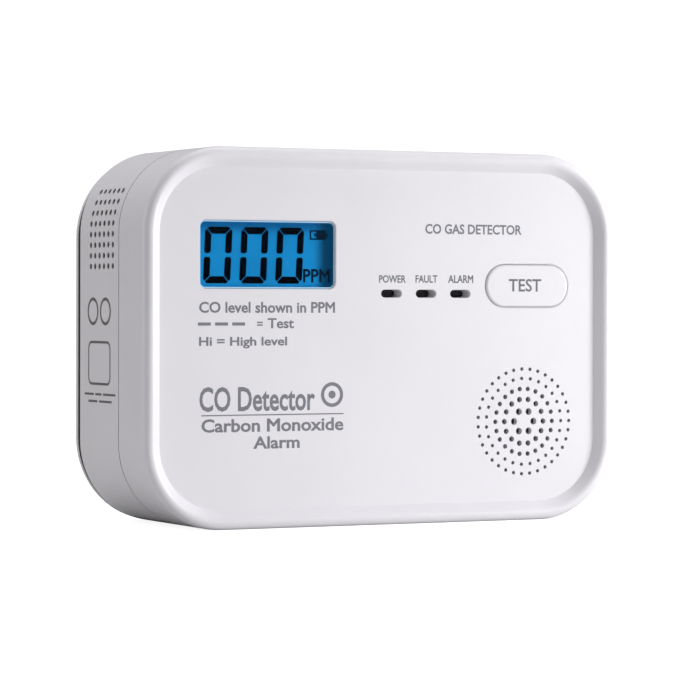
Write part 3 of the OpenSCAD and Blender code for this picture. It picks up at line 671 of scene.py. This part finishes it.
FRONT_MARKS = (
    ("legend_dashes", word_bars(-46.4, -34.9, 2.8, 3.5, [3, 3, 3])),
    ("rule", [rectangle(-45.5, -10.3, -17.25, -16.98)]),
    ("ring", ring(RING_CENTRE, 2.4, 0.8)),
    ("dot", [disc(RING_CENTRE, 0.9, 24)]),
)
for name, outlines in FRONT_MARKS:
    thin_piece("print_" + name, outlines, on_front, "housing", print_grey)


# ---- Printing on the left side ----

def rounded_frame(centre, half_across, half_up, radius, width):
    """An oblong outline with round corners, cut into convex pieces."""
    across, up = centre
    run = half_across - radius
    rise = half_up - radius
    outlines = []
    for turn, (i, j) in enumerate(((1, 1), (-1, 1), (-1, -1), (1, -1))):
        corner = (across + i * run, up + j * rise)
        outlines += band(corner, radius, width, 90 * turn, 90 * turn + 90, 6)
    for side in (-1, 1):
        level = up + side * half_up
        edge = across + side * half_across
        outlines.append(rectangle(across - run, across + run, level - width / 2, level + width / 2))
        outlines.append(rectangle(edge - width / 2, edge + width / 2, up - rise, up + rise))
    return outlines


SIDE_MARKS = (
    ("ring_1", ring((10.6, 5.85), 2.8, 0.7)),
    ("ring_2", ring((17.8, 5.85), 2.8, 0.7)),
    ("frame", rounded_frame((14.3, -5.8), 6.2, 4.7, 1.6, 0.55)),
    ("notes", word_bars(5.8, 23.6, -13.1, -12.6, [6, 4, 8]) + word_bars(8.0, 21.5, -14.7, -14.2, [5, 7])),
)
for name, outlines in SIDE_MARKS:
    thin_piece("side_" + name, outlines, on_left_side, "housing", side_print)


# ---- Studio ----

# The backdrop, in metres
FLOOR_Z = cad_box[0][2]
FLOOR_RADIUS = 1.3
FLOOR_BEND = 0.5
WALL_HEIGHT = 1.2
BEND_STEPS = 10
FLOOR_SIDES = 64
FLOOR_CENTRE = 0.001    # the radius of the small flat piece that closes the floor's middle

FLOOR_GREY = 0.65
FLOOR_LIFT = 0.88       # the floor's own light, seen by the camera only
AMBIENT = 0.41


def backdrop():
    """A pale round floor that curves up into a wall all round."""
    bends = [math.pi / 2 * k / BEND_STEPS for k in range(1, BEND_STEPS + 1)]
    profile = [(FLOOR_CENTRE, 0.0), (FLOOR_RADIUS, 0.0)]
    profile += [(FLOOR_RADIUS + FLOOR_BEND * math.sin(a), FLOOR_BEND - FLOOR_BEND * math.cos(a))
                for a in bends]
    profile.append((FLOOR_RADIUS + FLOOR_BEND, WALL_HEIGHT))
    turns = [2 * math.pi * k / FLOOR_SIDES for k in range(FLOOR_SIDES)]
    points = []
    faces = []
    for r, z in profile:
        points += [(r * math.cos(turn), r * math.sin(turn), FLOOR_Z + z) for turn in turns]
    for row in range(len(profile) - 1):
        for k in range(FLOOR_SIDES):
            a = row * FLOOR_SIDES + k
            b = row * FLOOR_SIDES + (k + 1) % FLOOR_SIDES
            faces.append([a, b, b + FLOOR_SIDES, a + FLOOR_SIDES])
    faces.append(list(range(FLOOR_SIDES)))
    mesh = bpy.data.meshes.new("floor")
    mesh.from_pydata(points, [], faces)
    for polygon in mesh.polygons:
        polygon.use_smooth = True
    floor = bpy.data.objects.new("floor", mesh)
    bpy.context.scene.collection.objects.link(floor)
    material, tree, shader = new_material("floor_white")
    shader.inputs["Base Color"].default_value = as_colour(FLOOR_GREY)
    shader.inputs["Roughness"].default_value = 0.9
    shader.inputs["Emission Color"].default_value = (1, 1, 1, 1)
    seen = add_node(tree, "ShaderNodeLightPath")
    lift = add_node(tree, "ShaderNodeMath", {1: FLOOR_LIFT}, operation="MULTIPLY")
    tree.links.new(seen.outputs["Is Camera Ray"], lift.inputs[0])
    tree.links.new(lift.outputs[0], shader.inputs["Emission Strength"])
    mesh.materials.append(material)


def area_light(name, place, target, size, power, colour=(1.0, 1.0, 1.0)):
    """A soft light; its width and height are in metres and its power is in watts."""
    data = bpy.data.lights.new(name, "AREA")
    data.shape = "RECTANGLE"
    data.size, data.size_y = size
    data.energy = power
    data.color = colour
    light = bpy.data.objects.new(name, data)
    bpy.context.scene.collection.objects.link(light)
    light.location = place
    light.rotation_euler = (Vector(target) - Vector(place)).to_track_quat("-Z", "Y").to_euler()
    light.visible_camera = False


backdrop()
area_light("key", (0.50, -0.37, 0.05), (0.0, -0.04, 0.0), (0.20, 0.20), 3.0)
area_light("top", (0.0, 0.0, 0.70), (0.0, -0.02, 0.0), (0.50, 0.50), 2.2)
area_light("left_fill", (-0.70, 0.25, 0.12), (-0.06, -0.02, 0.0), (0.40, 0.40), 0.88, (1.0, 0.975, 0.955))
area_light("low_strip", (0.0, -0.13, -0.035), (0.0, -0.04, -0.035), (0.18, 0.02), 0.012)

world = bpy.data.worlds.new("studio")
world.use_nodes = True
world.node_tree.nodes["Background"].inputs["Color"].default_value = (0.98, 0.98, 1.0, 1)
world.node_tree.nodes["Background"].inputs["Strength"].default_value = AMBIENT
bpy.context.scene.world = world
bpy.context.scene.view_settings.view_transform = "Standard"


# ---- Camera ----

VIEW_AZIMUTH = math.radians(-27.108)
VIEW_ELEVATION = math.radians(0.663)
VIEW_ROLL = math.radians(0.123)
VIEW_DISTANCE = 0.73534     # metres
LENS = 162.77               # millimetres, as is the sensor's width
SENSOR_WIDTH = 36
VIEW_SHIFT = (0.0030, -0.0190)
NEAREST, FURTHEST = 0.01, 20    # metres
target = Vector((0.0, (cad_box[0][1] + cad_box[1][1]) / 2, 0.0))
outward = Vector((math.sin(VIEW_AZIMUTH) * math.cos(VIEW_ELEVATION),
                  -math.cos(VIEW_AZIMUTH) * math.cos(VIEW_ELEVATION),
                  math.sin(VIEW_ELEVATION)))
camera_data = bpy.data.cameras.new("camera")
camera_data.lens = LENS
camera_data.sensor_width = SENSOR_WIDTH
camera_data.shift_x, camera_data.shift_y = VIEW_SHIFT
camera_data.clip_start = NEAREST
camera_data.clip_end = FURTHEST
camera = bpy.data.objects.new("camera", camera_data)
bpy.context.scene.collection.objects.link(camera)
facing = (-outward).to_track_quat("-Z", "Y").to_matrix().to_4x4()
place = Matrix.Translation(target + outward * VIEW_DISTANCE)
camera.matrix_world = place @ facing @ Matrix.Rotation(VIEW_ROLL, 4, "Z")
bpy.context.scene.camera = camera
